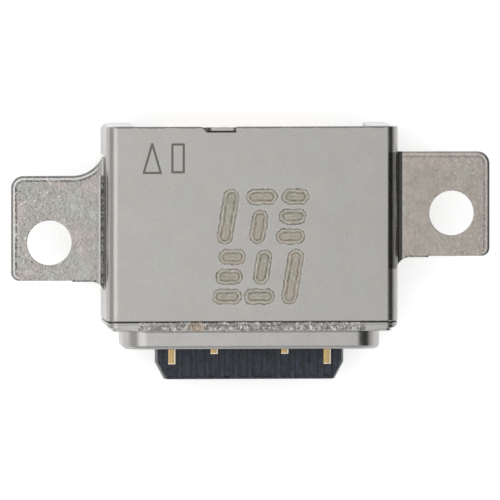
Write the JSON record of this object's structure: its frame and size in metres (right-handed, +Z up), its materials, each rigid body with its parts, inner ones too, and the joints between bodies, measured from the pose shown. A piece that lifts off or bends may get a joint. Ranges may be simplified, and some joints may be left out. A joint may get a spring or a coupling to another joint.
{
  "type": "reversible plug socket with screw ears",
  "caption": "Small reversible plug socket: a flat tongue with gilt contacts in a steel shell, under a folded steel cover with two screw ears.",
  "frame": {"origin": "on the board plane, under the middle of the plug opening, at the collar's front face", "axes": "+X across the socket to the ear whose hole lies further back, +Y to the rear, away from the plug, +Z up from the board to the cover's marked top face"},
  "size_m": [0.017, 0.009, 0.0035],
  "materials": {
    "cover_steel": "satin stamped sheet with fine pits, scratches and etched marks",
    "shell_steel": "satin steel with a laser weld along the collar",
    "black_moulding": "fine matte blue-black moulding",
    "plate_steel": "plain stamped sheet with bright cut edges",
    "contact_gold": "gold plated, smooth"
  },
  "bodies": {
    "root": {"outer_cover": "cover_steel", "main_shell": "shell_steel", "tongue_body": "black_moulding", "upper_insulator": "black_moulding", "lower_insulator": "black_moulding", "mid_plate": "plate_steel", "upper_ground_plate": "plate_steel", "lower_ground_plate": "plate_steel", "upper_contact_1": "contact_gold", "upper_contact_2": "contact_gold", "upper_contact_3": "contact_gold", "upper_contact_4": "contact_gold", "upper_contact_5": "contact_gold", "upper_contact_6": "contact_gold", "upper_contact_7": "contact_gold", "upper_contact_8": "contact_gold", "upper_contact_9": "contact_gold", "upper_contact_10": "contact_gold", "upper_contact_11": "contact_gold", "upper_contact_12": "contact_gold", "lower_contact_1": "contact_gold", "lower_contact_2": "contact_gold", "lower_contact_3": "contact_gold", "lower_contact_4": "contact_gold", "lower_contact_5": "contact_gold", "lower_contact_6": "contact_gold", "lower_contact_7": "contact_gold", "lower_contact_8": "contact_gold", "lower_contact_9": "contact_gold", "lower_contact_10": "contact_gold", "lower_contact_11": "contact_gold", "lower_contact_12": "contact_gold"}
  },
  "joints": []
}
